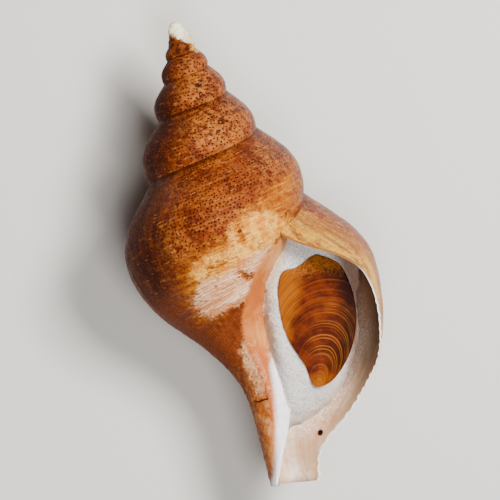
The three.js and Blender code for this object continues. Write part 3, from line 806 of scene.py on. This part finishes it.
    low = ease(up * -1, 3, 34)
    linted = frayed(fact(tree, "lint"), -1.5, 3.0, (mottles, 8)) * ease(fine * 0.5 + grains * 0.5, 0.47, 0.55)
    *stain_at, radius = STAIN
    stain = 1 - frayed(away_from(place, *stain_at), radius * 0.75, radius * 1.1, (fine, 1.2))
    # The lining, and the lint on it, go from dark brown high up to pale low down: partly their own colour,
    # partly painted shade under the outer lip.
    lining = paint(
        (98, 32, 0),
        ((212, 178, 146), low),
        ((190, 122, 80), ease(clouds * 0.5 + growth * 0.5, 0.48, 0.62) * 0.5),
        # Whitish patches near the canal's end: painted highlight.
        ((248, 240, 236), ease(clouds * 0.5 + blotches * 0.5, 0.46, 0.6) * ease(up * -1, 44, 56) * 0.6),
        # Painted shade along the inside of the rim.
        ((160, 108, 66), (1 - frayed(rim, 0.6, 4.0, (blotches, 3))) * 0.5),
        (paint((186, 140, 106), ((250, 246, 244), low)), linted * (low * 0.45 + 0.25)),
        ((34, 8, 2), stain))
    rim_dye = paint((176, 112, 44), ((254, 250, 240), ease(up * -1, 7, 15)))
    top = paint((122, 56, 10), ((50, 14, 0), ease(grains * 0.5 + mottles * 0.5, 0.44, 0.56)))
    rusty = 1 - frayed(away_from(place, *RUST_AT), 0.5, 1.2, (grains, 1.5))
    tip = paint((206, 190, 150), ((250, 242, 214), ease(blotches, 0.42, 0.6)), ((150, 84, 30), rusty * 0.8))
    skin = paint(
        skin,
        (paint(salmon, (ridge, fold_cover)), glaze_cover),
        ((30, 8, 2), crack * 0.9),
        (lining, inside),
        (rim_dye, 1 - frayed(rim, 0.1, 0.4, (grains, 0.3))),
        (top, ease(up, 50.0, 51.0) * 0.9),
        ((214, 160, 74), (1 - frayed(away_from(place, *GILT_AT), 0.9, 2.0, (mottles, 2.5))) * 0.85),
        (tip, frayed(up + aside * 0.66, 51.4, 52.2, (grains, 3)) * ease(up, 49.5, 51)))

    smooth = 1 - (1 - glaze_cover) * (1 - inside)
    lumps = (crest * 0.05 * streaks + (growth_fine - 0.5) * 0.12 + (blotches - 0.5) * 0.5
             + (mottles - 0.5) * 0.25 + (grains - 0.5) * 0.22 + (fine - 0.5) * 0.06 - pit * 0.1)
    feed(surface, {
        "Base Color": skin,
        "Roughness": (0.14 + grains * 0.22 + dark_and_shaded_cover * 0.42) * (1 - smooth) + smooth * 0.2,
        "Normal": bumped(lumps * (1 - smooth) + (grains - 0.5) * 0.05 * smooth - crack * 0.3),
        "Coat Weight": smooth * (1 - inside * (1 - low)) * (0.2 + 0.8 * fold_cover) * 0.6,
        "Coat Roughness": 0.12, "Specular IOR Level": 0.07})


paint_shell()
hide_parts("shell")
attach(shell, "root")

# The operculum: the horny door that the animal shut its mouth with, laid on the wool. It is a thin
# leathery plate, amber to nearly black, grown in lines about its point at the canal's end.
HORN_OUTLINE = [
    (13.8, -64.6), (17.5, -63.1), (19.8, -63.0), (24, -66.4), (25.4, -71.5), (25.5, -76.5), (24.6, -81.5),
    (22.4, -86.6), (19.4, -90.6), (15.6, -93.7), (12.4, -94.4), (10.7, -93.4), (9.9, -88.0), (8.0, -82.6),
    (7.2, -77.5), (7.5, -71.8), (8.8, -67.0), (10.5, -64.7)]
HORN_POINT = np.array((12.0, -93.7))
HORN_MIDDLE = (14.5, -79)
HORN_THICK, HORN_ABOVE_BED, HORN_CUP = 0.8, 0.5, 0.005
HORN_LINES = 72
HORN_HEADING = (0.45, 0.893)  # the way it grew, from its point
HORN_OVALS = (1.0, 1.4)  # height over breadth of the ovals that its lines follow, on the left and right
HORN_REACH = 32.5  # the size of the last of those ovals
HORN_LONG = 31
HORN_RINGS, HORN_ROUND = 230, 150
HORN_UNDER_RINGS = (0.3, 0.7, 0.9, 0.985, 1.0)
HORN_RIDGE = 0.042


def bed_height(x, y):
    """The height of the wool's top about the axis, where the operculum lies."""
    depth = -y
    flat = 4.6 - 0.19 * (depth - 78) - 0.16 * (x - 16)
    return flat + 0.035 * np.maximum(0, 62 - depth) ** 2 - 0.05 * np.maximum(0, depth - 94) ** 2


def horn_underside(flat):
    """The height of the operculum's cupped underside at places about the axis."""
    x, y = flat.T
    cup = HORN_CUP * ((x - HORN_MIDDLE[0]) ** 2 + (y - HORN_MIDDLE[1]) ** 2 / 3)
    return bed_height(x, y) + HORN_ABOVE_BED + cup


def eased(values, start, end):
    """0 below start, 1 above end, and smooth between."""
    shares = np.clip((values - start) / (end - start), 0, 1)
    return shares * shares * (3 - 2 * shares)


def smooth_loop(points, count):
    """A smooth closed line through listed points, as evenly spaced rows."""
    given = np.array(points, float)
    t = (np.arange(24) / 24)[None, :, None]
    a, b, c, d = (np.roll(given, shift, axis=0)[:, None] for shift in (1, 0, -1, -2))
    line = 0.5 * (2 * b + (c - a) * t + (2 * a - 5 * b + 4 * c - d) * t ** 2
                  + (3 * b - a - 3 * c + d) * t ** 3)
    line = line.reshape(-1, given.shape[1])
    steps = np.linalg.norm(np.roll(line, -1, axis=0) - line, axis=1)
    along = np.concatenate([[0], np.cumsum(steps)])
    wanted = np.arange(count) / count * along[-1]
    closed = np.vstack([line, line[:1]])
    return np.stack([np.interp(wanted, along, column) for column in closed.T], axis=1)


def ring_mesh(name, rings):
    """A closed mesh through rows of points, each row a loop, with its first and last row closed."""
    count = len(rings[0])
    corners = (np.concatenate(rings) + np.array(ROW_FROM_SHELL)) * MM
    faces = [(k + i, k + (i + 1) % count, k + count + (i + 1) % count, k + count + i)
             for k in range(0, len(corners) - count, count) for i in range(count)]
    faces += [tuple(range(count))[::-1], tuple(range(len(corners) - count, len(corners)))]
    mesh = bpy.data.meshes.new(name)
    mesh.from_pydata(corners.tolist(), [], faces)
    mesh.polygons.foreach_set("use_smooth", [True] * len(faces))
    body = bmesh.new()
    body.from_mesh(mesh)
    bmesh.ops.triangulate(body, faces=[face for face in body.faces if len(face.verts) > 4])
    bmesh.ops.recalc_face_normals(body, faces=body.faces)
    body.to_mesh(mesh)
    body.free()
    return place_in_scene(name, mesh)


chance = np.random.default_rng(11)
gaps = chance.uniform(0.5, 1.5, HORN_LINES)
line_ends = np.concatenate([[0], np.cumsum(gaps) / gaps.sum()])
line_heights = chance.uniform(0.25, 1.0, HORN_LINES + 1)
round_turns = np.arange(HORN_ROUND) / HORN_ROUND * math.tau
waver = sum(chance.uniform(-1, 1) / k * np.sin(k * round_turns + chance.uniform(0, 7)) for k in range(1, 9))
from_point = smooth_loop(HORN_OUTLINE, HORN_ROUND) - HORN_POINT
rings, ages = [], []
for share in HORN_UNDER_RINGS:
    flat = HORN_POINT + from_point * share
    rings.append(np.column_stack([flat, horn_underside(flat) + HORN_THICK * 0.25 * (share == 1.0)]))
    ages.append(np.zeros(HORN_ROUND))
for share in np.linspace(1, 0.01, HORN_RINGS):
    flat = HORN_POINT + from_point * share
    away = flat - HORN_POINT
    ahead, aside = away @ np.array(HORN_HEADING), away @ np.array((HORN_HEADING[1], -HORN_HEADING[0]))
    oval = HORN_OVALS[0] + (HORN_OVALS[1] - HORN_OVALS[0]) * eased(aside, -2, 2)
    age = (ahead ** 2 + (oval * aside) ** 2) / np.maximum(ahead, 1.2) / HORN_REACH
    age = np.clip(age * 0.95 + waver * 0.002 * share, 0, 0.999)
    line = np.clip(np.searchsorted(line_ends, age, side="right") - 1, 0, HORN_LINES - 1)
    within = (age - line_ends[line]) / (line_ends[line + 1] - line_ends[line])
    ridge = within ** 1.6 * (1 - np.clip((within - 0.8) / 0.2, 0, 1)) * line_heights[line]
    edge_fall = np.sqrt(1 - (1 - np.minimum((1 - share) / 0.02, 1)) ** 2)
    top = horn_underside(flat) + HORN_THICK * (0.45 + 0.4 * edge_fall) + ridge * HORN_RIDGE
    rings.append(np.column_stack([flat, top]))
    ages.append(age * HORN_LONG)
operculum = ring_mesh("horn_operculum", rings)
keep_fact(operculum.data, "age", np.concatenate(ages))
HORN_PATCHES = {
    "amber": [[(278, 262), (298, 262), (299, 285), (293, 312), (288, 336), (278, 326), (270, 300)],
              [(308, 378), (320, 374), (330, 378), (328, 392), (312, 394)]],
    "crust": [[(284, 262), (300, 242), (330, 238), (347, 258), (340, 272), (322, 270), (304, 274),
               (292, 276)]],
    # The plate's right side by the outer lip, near black: partly its own dark horn, partly painted shade
    # under the lip.
    "dark_and_shaded": [[(336, 256), (350, 262), (362, 300), (360, 340), (344, 372), (330, 366), (340, 330),
              (338, 290)]],
    "shine": [[(316, 318), (330, 306), (346, 310), (357, 336), (350, 362), (336, 376), (322, 366),
               (312, 344)]],
}
for name, outlines in HORN_PATCHES.items():
    keep_fact(operculum.data, name, depth_inside(outlines, picture_spots(corners_of(operculum.data))) * PIXEL)

horn = bpy.data.materials.new("amber_horn")
tree, surface, _, (clouds, blotches, _, grains, fine) = start_of(horn)
age = fact(tree, "age")
lines = noise(spot(age * 2.2, clouds * 0.6, 3), 1.0, 3, 0.6)
fine_lines = noise(spot(age * 4.5, clouds, 7), 1.0, 2, 0.6)
# Pale golden lines in one patch on the lower right: painted highlights along the growth lines.
painted_shine = frayed(fact(tree, "shine"), -2, 2.5, (blotches, 6)) * ease(fine_lines * 0.8 + lines * 0.2, 0.5, 0.58)
crusted = frayed(fact(tree, "crust"), -1.4, 1.8, (grains, 6))
feed(surface, {
    "Base Color": paint(
        (56, 10, 0),
        ((100, 36, 0), ease(lines * 0.25 + clouds * 0.35 + blotches * 0.4, 0.42, 0.58)),
        ((144, 74, 6), ease(lines * 0.5 + fine_lines * 0.5, 0.53, 0.64) * ease(age, 1, 7) * 0.42),
        # Near black on the right side by the lip: partly the horn's own colour, partly painted shade.
        ((26, 3, 0), frayed(fact(tree, "dark_and_shaded"), -3, 3.0, (clouds, 8)) * 0.92),
        ((184, 112, 30), painted_shine * 0.32),
        (paint((124, 58, 0), ((148, 82, 0), ease(fine_lines, 0.4, 0.6))),
         frayed(fact(tree, "amber"), -2, 2, (blotches, 4)) * 0.94),
        (paint((88, 38, 4), ((166, 100, 34), ease(fine * 0.6 + grains * 0.4, 0.42, 0.58))), crusted * 0.85)),
    "Roughness": 0.34 + grains * 0.16 + crusted * 0.2,
    "Normal": bumped((lines - 0.5) * 0.1 + (fine_lines - 0.5) * 0.06
                     + (grains - 0.5) * (0.05 + crusted * 0.3)),
    "Specular IOR Level": 0.06})
operculum.data.materials.append(horn)
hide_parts("operculum")
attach(operculum, "root")

# The cotton wool: a wad of bleached, felted cotton pressed into the mouth by hand to carry the
# operculum. It tucks in along the inner lip and thins out in the canal.
WOOL_LEFT_EDGE = [
    (288, 222), (276, 262), (268, 280), (266, 290), (265, 310), (270, 340), (275, 360), (282, 380),
    (287, 400), (288, 416), (286, 430), (282, 452)]
WOOL_END = [(276, 434), (290, 428), (304, 423), (318, 414), (332, 402), (346, 384), (362, 360)]
# The wool's right side by the outer lip, painted brown: partly the lining showing through thin wool, partly
# painted shade under the lip.
WOOL_BROWN_AND_SHADE = [
    (318, 236), (350, 248), (370, 285), (378, 330), (374, 362), (354, 398), (342, 404), (350, 350),
    (352, 312), (346, 282), (334, 258)]
WOOL_VOXEL = 0.6
WOOL_SHOULDER = 3.0
WOOL_TAPER = 9.0
WOOL_OVERLAP = 2.0
WOOL_RISE = 1.1  # how far the wool stands up round the operculum
WOOL_TUFTS = 0.28


def from_line(points, spots):
    """Each spot's distance from an open line, positive on its left, and its place along the line."""
    line = np.array(points, float)
    nearest, place = np.full(len(spots), 1e9), np.zeros(len(spots))
    for i, (start, end) in enumerate(zip(line, line[1:])):
        along = end - start
        share = np.clip((spots - start) @ along / (along @ along), 0, 1)
        away = np.linalg.norm(spots - start - share[:, None] * along, axis=1)
        side = np.sign(along[1] * (spots[:, 0] - start[0]) - along[0] * (spots[:, 1] - start[1]))
        closer = away < np.abs(nearest)
        nearest = np.where(closer, away * side, nearest)
        place = np.where(closer, i + share, place)
    return nearest, place


def domed(values):
    """Rises steeply from 0 and levels off at 1."""
    return np.sqrt(1 - (1 - np.clip(values, 0, 1)) ** 2)


def about_axis(corners):
    """Places in the part's frame as places about the shell's axis, seen from above."""
    return corners[:, :2] - np.array(ROW_FROM_SHELL)[:2]


def move_corners(mesh, corners):
    """Puts a mesh's vertices at places in millimetres of the part's frame."""
    mesh.vertices.foreach_set("co", (corners * MM).astype(np.float32).ravel())


pad = bmesh.new()
pad.from_mesh(bpy.data.objects["cotton_wad"].data)
bmesh.ops.remove_doubles(pad, verts=pad.verts, dist=1e-6)
wool = place_in_scene("cotton_wool_wad", bpy.data.meshes.new("cotton_wool_wad"))
pad.to_mesh(wool.data)
pad.free()
remesh = wool.modifiers.new("felt", "REMESH")
remesh.mode = "VOXEL"
remesh.voxel_size = WOOL_VOXEL * MM
settle(wool)

# The wad's left side is drawn out over the inner lip where it falls short of its edge in the picture.
corners = corners_of(wool.data)
inward, along = from_line(WOOL_LEFT_EDGE, picture_spots(corners))
above_bed = corners[:, 2] - bed_height(*about_axis(corners).T) - ROW_FROM_SHELL.z
stretch = np.where(above_bed > -1.2, np.round(along * 2), -1).astype(int)
gaps = [inward[stretch == k].min() if np.any(stretch == k) else 0 for k in range(stretch.max() + 1)]
short_of = np.clip(np.interp(along * 2, range(len(gaps)), gaps) + WOOL_OVERLAP, 0, 10)
pull = short_of * (1 - eased(inward, 4, 24)) * eased(above_bed, -4, -1.5)
corners -= np.array(view_right) * (pull * PIXEL)[:, None]

# Its top then rises from the shell's inner lip to the bed under the operculum, and thins out at its end.
hits = [shell_faces.ray_cast(Vector((x, y, 90)) * MM, Vector((0, 0, -1)))[0] for x, y, _ in corners]
under_wool = np.array([hit.z / MM if hit else -99 for hit in hits])
spots = picture_spots(corners)
inward, along = from_line(WOOL_LEFT_EDGE, spots)
upward, _ = from_line(WOOL_END, spots)
edge_heights = [on_surface(shell_faces, *stop).z for stop in WOOL_LEFT_EDGE]
edge_height = np.interp(along, range(len(edge_heights)), edge_heights)
flat = about_axis(corners)
outside_horn = -depth_inside([HORN_OUTLINE], flat)
bare_bed = bed_height(*flat.T) + ROW_FROM_SHELL.z
bed = bare_bed + WOOL_RISE * eased(outside_horn, -0.45, 0.25)
shoulder = domed(inward * PIXEL / WOOL_SHOULDER)
ceiling = np.where(inward > 0, edge_height * (1 - shoulder) + bed * shoulder, edge_height - 0.5)
film = under_wool + 0.75 * domed((inward + WOOL_OVERLAP) / 5) - 0.35
ceiling = np.where((inward < 14) & (np.abs(under_wool - ceiling) < 5), np.maximum(ceiling, film), ceiling)
ceiling = np.where(inward < 0, np.minimum(ceiling, film), ceiling)
tail = domed(upward * PIXEL / WOOL_TAPER)
floor = np.minimum(under_wool, bed) + np.where(upward > 0, 0.05, -0.4)
ceiling = np.minimum(ceiling, floor * (1 - tail) + bed * tail)
corners[:, 2] = np.where(corners[:, 2] > bare_bed - 1.5, ceiling, np.minimum(corners[:, 2], ceiling - 0.2))
move_corners(wool.data, corners)
wool.data.polygons.foreach_set("use_smooth", [True] * len(wool.data.polygons))
finer = wool.modifiers.new("finer", "SUBSURF")
finer.levels = finer.render_levels = 1
settle(wool)
corners = corners_of(wool.data)
tufts = np.array([fractal(Vector(corner) * 0.35, 0.6, 2.0, 5) for corner in corners])
corners += normals_of(wool.data) * (tufts * WOOL_TUFTS)[:, None]
move_corners(wool.data, corners)

spots = picture_spots(corners)
keep_fact(wool.data, "end", from_line(WOOL_END, spots)[0] * PIXEL)
keep_fact(wool.data, "brown_and_shade", depth_inside([WOOL_BROWN_AND_SHADE], spots) * PIXEL)
keep_fact(wool.data, "inward", from_line(WOOL_LEFT_EDGE, spots)[0] * PIXEL)

cotton = bpy.data.materials.new("bleached_cotton")
tree, surface, place, (_, blotches, _, grains, _) = start_of(cotton)
felted = noise(place, 3.2, 4, 0.75)
thin = 1 - frayed(fact(tree, "end"), 0.2, 4.5, (felted, 8), (blotches, 4))
seeped = (1 - frayed(fact(tree, "inward"), 0.6, 3.4, (felted, 7))) * ease(fact(tree, "end"), 10, 22)
feed(surface, {
    "Base Color": paint(
        (214, 206, 202),
        ((255, 253, 252), ease(felted * 0.5 + grains * 0.5, 0.42, 0.54)),
        ((130, 104, 86), (1 - ease(felted, 0.36, 0.44)) * 0.8),
        ((236, 208, 186), ease(blotches, 0.5, 0.66) * 0.4),
        ((210, 176, 148), thin * 0.8),
        ((230, 180, 128), seeped * 0.7),
        # Brown on the right side by the lip: partly lining through thin wool, partly painted shade.
        ((126, 70, 30), frayed(fact(tree, "brown_and_shade"), -1.2, 1.6, (felted, 5), (blotches, 3)) * 0.9)),
    "Roughness": 0.85 + felted * 0.15,
    "Normal": bumped(felted * 0.5 + grains * 0.3),
    "Sheen Weight": 0.3})
wool.data.materials.clear()
wool.data.materials.append(cotton)
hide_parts("cotton_wad")
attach(wool, "root")

# The loose fibres: short cotton hairs that stand off the wad where it was picked and pressed in by
# hand. A node tree strews some 9,700 bent ones over the faces of the wad that look up.


def loose_fibres():
    """Node tree: short bent fibres strewn over the faces of a wad that look up."""
    tree, given, result = new_tree(
        "loose_fibres", "GeometryNodeTree",
        [("Geometry", "Geometry"), ("Density", "Float", 5e6), ("Length", "Float", 0.001),
         ("Thickness", "Float", 0.00003), ("Seed", "Int", 3), ("Material", "Material")],
        [("Geometry", "Geometry")])

    def drawn(kind, seed, low, high):
        """A number drawn for each fibre."""
        node = add(tree, "FunctionNodeRandomValue", {"Seed": seed}, data_type=kind)
        for socket in node.inputs:
            if socket.enabled and socket.name in ("Min", "Max"):
                socket.default_value = low if socket.name == "Min" else high
        return next(Amount(socket) for socket in node.outputs if socket.enabled)

    looks_up = parts_of(answer(tree, "GeometryNodeInputNormal"))[2].work("GREATER_THAN", 0.35)
    strewn = add(tree, "GeometryNodeDistributePointsOnFaces",
                 {"Mesh": given["Geometry"], "Density": given["Density"] * looks_up, "Seed": given["Seed"]})
    bundle = add(tree, "GeometryNodeJoinGeometry")
    profile = answer(tree, "GeometryNodeCurvePrimitiveCircle",
                     {"Resolution": 3, "Radius": given["Thickness"]})
    half = given["Length"] * 0.5
    for sway, lift in ((0.5, 0.3), (-0.35, 0.5), (0.9, 0.15), (-0.8, 0.7)):
        bent = answer(tree, "GeometryNodeCurveQuadraticBezier",
                      {"Resolution": 2, "Start": spot(half * -1, 0, half * -0.12),
                       "Middle": spot(0, half * sway, half * lift), "End": spot(half, 0, half * 0.2)})
        tube = answer(tree, "GeometryNodeCurveToMesh",
                      {"Curve": bent, "Profile Curve": profile, "Fill Caps": True})
        feed(bundle, [answer(tree, "GeometryNodeGeometryToInstance", [tube])])
    bend, scale, heading = drawn("INT", 7, 0, 3), drawn("FLOAT", 8, 0.45, 1.7), drawn("FLOAT", 9, 0, math.tau)
    spin = answer(tree, "FunctionNodeAxisAngleToRotation", {"Axis": (0, 0, 1), "Angle": heading})
    turn = answer(tree, "FunctionNodeRotateRotation",
                  {"Rotation": Amount(strewn.outputs["Rotation"]), "Rotate By": spin}, rotation_space="LOCAL")
    placed = answer(tree, "GeometryNodeInstanceOnPoints",
                    {"Points": Amount(strewn.outputs["Points"]), "Instance": Amount(bundle.outputs[0]),
                     "Pick Instance": True, "Instance Index": bend, "Rotation": turn,
                     "Scale": spot(scale, scale, scale)})
    return end_tree(placed, given["Material"], result)


fibre_cotton = bpy.data.materials.new("cotton_fibre")
tree, surface, place, (_, _, mottles, grains, _) = start_of(fibre_cotton)
felted = noise(place, 3.2, 4, 0.75)
thin = (1 - ease(fact(tree, "end"), 0, 2)) * 0.6
# Brown where the wool thins at its end and on its right side by the lip: lining showing through, and painted
# shade under the lip.
brown_and_shade = frayed(fact(tree, "brown_and_shade"), -1.2, 1.4, (felted, 6)).work("MAXIMUM", thin)
seeped = (1 - frayed(fact(tree, "inward"), 0.4, 2.6, (grains, 9))) * ease(fact(tree, "end"), 10, 22)
feed(surface, {
    "Base Color": paint(
        (216, 208, 204),
        ((255, 254, 253), ease(mottles * 0.3 + grains * 0.7, 0.38, 0.5)),
        ((140, 114, 96), (1 - ease(felted, 0.38, 0.46)) * 0.75),
        (paint((150, 92, 50), ((232, 186, 138), seeped)), (brown_and_shade * 0.9).work("MAXIMUM", seeped * 0.75))),
    "Roughness": 0.5 + mottles * 0.2,
    "Sheen Weight": 0.3})
fibres = made_by(loose_fibres(), {"Density": 7.9e6, "Length": 0.0009, "Thickness": 0.00002, "Seed": 5,
                                  "Material": fibre_cotton}, "cotton_fibres", wool.data)
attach(fibres, "root")
